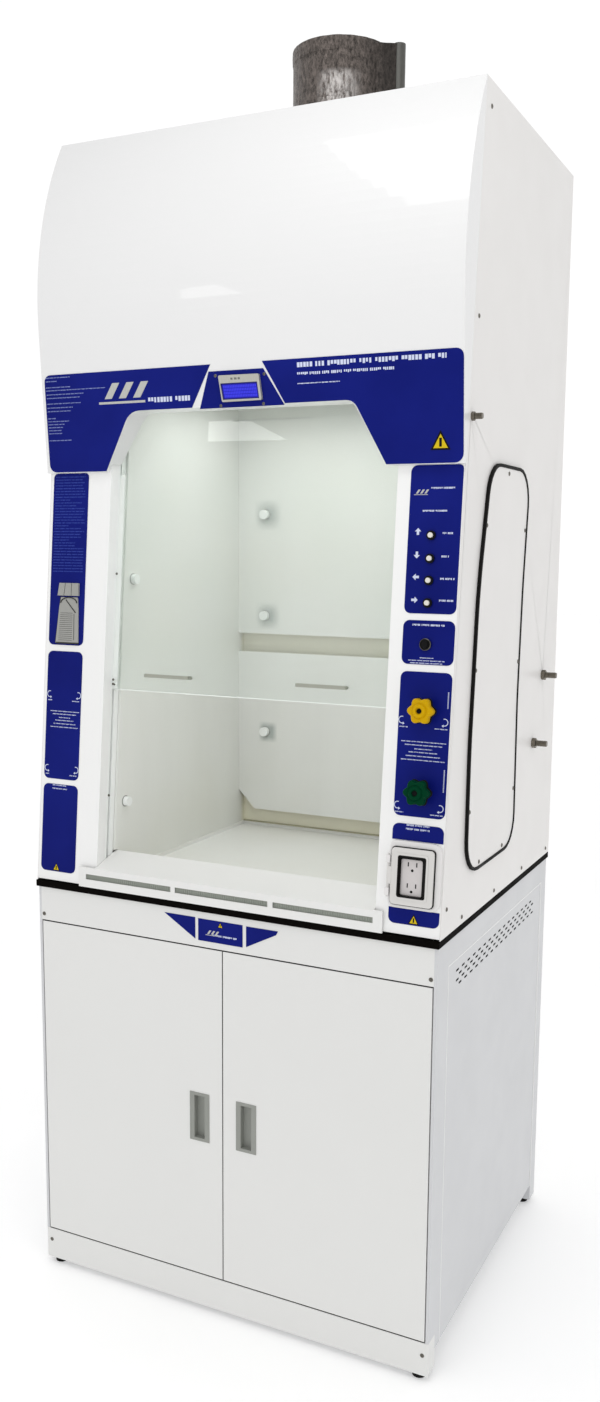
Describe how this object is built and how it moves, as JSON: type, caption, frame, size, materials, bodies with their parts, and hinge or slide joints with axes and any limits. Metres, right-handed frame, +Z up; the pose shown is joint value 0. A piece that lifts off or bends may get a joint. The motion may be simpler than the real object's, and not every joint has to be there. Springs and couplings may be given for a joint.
{
  "type": "fume hood",
  "caption": "Laboratory fume hood with curved cover, leaning counterbalanced sash, valve and outlet column, baffled chamber, roof blower and duct, on a two-door base cabinet.",
  "frame": {"origin": "on the floor under the middle of the base cabinet", "axes": "+Z up, +Y towards the back, +X to the right as a user faces the sash"},
  "size_m": [0.971, 0.7633, 2.624],
  "materials": {
    "white_paint": "gloss powder coat",
    "pull_grey": "satin",
    "steel": "brushed",
    "screw_steel": "worn zinc",
    "black_rubber": "matte",
    "black_slab": "satin phenolic resin",
    "black_plastic": "satin",
    "blue_plate": "gloss",
    "display_bezel": "satin",
    "display_blue": "gloss, lit",
    "plaque_grey": "cast",
    "clear_pane": "clear",
    "white_polymer": "satin polypropylene",
    "cast_weight": "painted",
    "white_plastic": "moulded",
    "yellow_knob": "moulded",
    "green_knob": "moulded",
    "nickel_brass": "nickel plated",
    "dark_paint": "satin",
    "foil": "crinkled foil"
  },
  "bodies": {
    "root": {"base_frame": "white_paint", "plinth_panel": "white_paint", "fascia_panel": "white_paint", "side_panel_left": "white_paint", "side_panel_right": "white_paint", "cabinet_back": "white_paint", "hinge_pins": "steel", "magnetic_catches": "black_plastic", "levelling_feet": "black_rubber", "worktop_slab": "black_slab", "label_plates": "blue_plate", "panel_screws": "screw_steel", "hood_side_left": "white_paint", "hood_side_right": "white_paint", "access_cover": "white_paint", "access_gasket": "black_rubber", "hood_back": "white_paint", "hood_top": "white_paint", "front_cover": "white_paint", "left_column": "white_paint", "right_column": "white_paint", "display_frame": "display_bezel", "display_screen": "display_blue", "bottle_plaque": "plaque_grey", "sash_guides": "white_polymer", "shaft_bearings": "black_plastic", "lift_cables": "steel", "work_tray": "white_polymer", "air_sill": "white_paint", "side_liners": "white_polymer", "baffles": "white_polymer", "baffle_knobs": "white_plastic", "chamber_ceiling": "white_polymer", "lamp": "white_plastic", "outlet_plate": "white_plastic", "receptacle": "white_plastic", "button_bezels": "black_plastic", "service_valves": "nickel_brass", "blower_housing": "steel", "blower_motor": "dark_paint", "foil_duct": "foil", "conduit_riser": "foil", "cable_gland": "black_rubber"},
    "sash": {"sash_glass": "clear_pane", "sash_handles": "steel"},
    "weight": {"counterweight": "cast_weight"},
    "shaft": {"lift_shaft": "steel"},
    "door_left": {"door_left": "white_paint", "pull_left": "pull_grey"},
    "door_right": {"door_right": "white_paint", "pull_right": "pull_grey"},
    "lid": {"outlet_lid": "white_plastic"},
    "button_up": {"button_up": "white_plastic"},
    "button_down": {"button_down": "white_plastic"},
    "button_left": {"button_left": "white_plastic"},
    "button_right": {"button_right": "white_plastic"},
    "reset": {"reset_button": "black_plastic"},
    "gas_knob": {"gas_knob": "yellow_knob"},
    "water_knob": {"water_knob": "green_knob"},
    "impeller": {"blower_impeller": "dark_paint"}
  },
  "joints": [
    {"name": "sash_slide", "type": "slide", "parent": "root", "child": "sash", "axis": [0, 0.0889, 0.996], "range_m": [-0.349, 0.105], "deforming": ["lift_cables"]},
    {"name": "weight_slide", "type": "slide", "parent": "root", "child": "weight", "axis": [0, 0.0889, 0.996], "range_m": [-0.107, 0.351]},
    {"name": "shaft_spin", "type": "hinge", "parent": "root", "child": "shaft", "pos_m": [0, -0.18186, 2.33086], "axis": [1, 0, 0], "range_deg": [-860, 260]},
    {"name": "door_left_hinge", "type": "hinge", "parent": "root", "child": "door_left", "pos_m": [-0.4365, -0.367, 0.434], "axis": [0, 0, -1], "range_deg": [0, 100]},
    {"name": "door_right_hinge", "type": "hinge", "parent": "root", "child": "door_right", "pos_m": [0.4365, -0.367, 0.434], "axis": [0, 0, 1], "range_deg": [0, 100]},
    {"name": "lid_hinge", "type": "hinge", "parent": "root", "child": "lid", "pos_m": [0.35, -0.37332, 0.98398], "axis": [0, -0.0889, -0.996], "range_deg": [0, 110]},
    {"name": "button_up_press", "type": "slide", "parent": "root", "child": "button_up", "axis": [0, 0.996, -0.0889], "range_m": [0, 0.002], "stiffness_N_per_m": 400, "springref_m": -0.001},
    {"name": "button_down_press", "type": "slide", "parent": "root", "child": "button_down", "axis": [0, 0.996, -0.0889], "range_m": [0, 0.002], "stiffness_N_per_m": 400, "springref_m": -0.001},
    {"name": "button_left_press", "type": "slide", "parent": "root", "child": "button_left", "axis": [0, 0.996, -0.0889], "range_m": [0, 0.002], "stiffness_N_per_m": 400, "springref_m": -0.001},
    {"name": "button_right_press", "type": "slide", "parent": "root", "child": "button_right", "axis": [0, 0.996, -0.0889], "range_m": [0, 0.002], "stiffness_N_per_m": 400, "springref_m": -0.001},
    {"name": "reset_press", "type": "slide", "parent": "root", "child": "reset", "axis": [0, 0.996, -0.0889], "range_m": [0, 0.003], "stiffness_N_per_m": 400, "springref_m": -0.001},
    {"name": "gas_turn", "type": "hinge", "parent": "root", "child": "gas_knob", "pos_m": [0.404, -0.33515, 1.288], "axis": [0, 0.996, -0.0889], "range_deg": [0, 540]},
    {"name": "water_turn", "type": "hinge", "parent": "root", "child": "water_knob", "pos_m": [0.404, -0.34818, 1.142], "axis": [0, 0.996, -0.0889], "range_deg": [0, 540]},
    {"name": "impeller_spin", "type": "hinge", "parent": "root", "child": "impeller", "pos_m": [0, 0.078, 2.167], "axis": [1, 0, 0], "continuous": true}
  ],
  "couplings": [
    {"joint": "weight_slide", "follows": "sash_slide", "ratio": -1},
    {"joint": "shaft_spin", "follows": "sash_slide", "rad_per_m": 40}
  ]
}
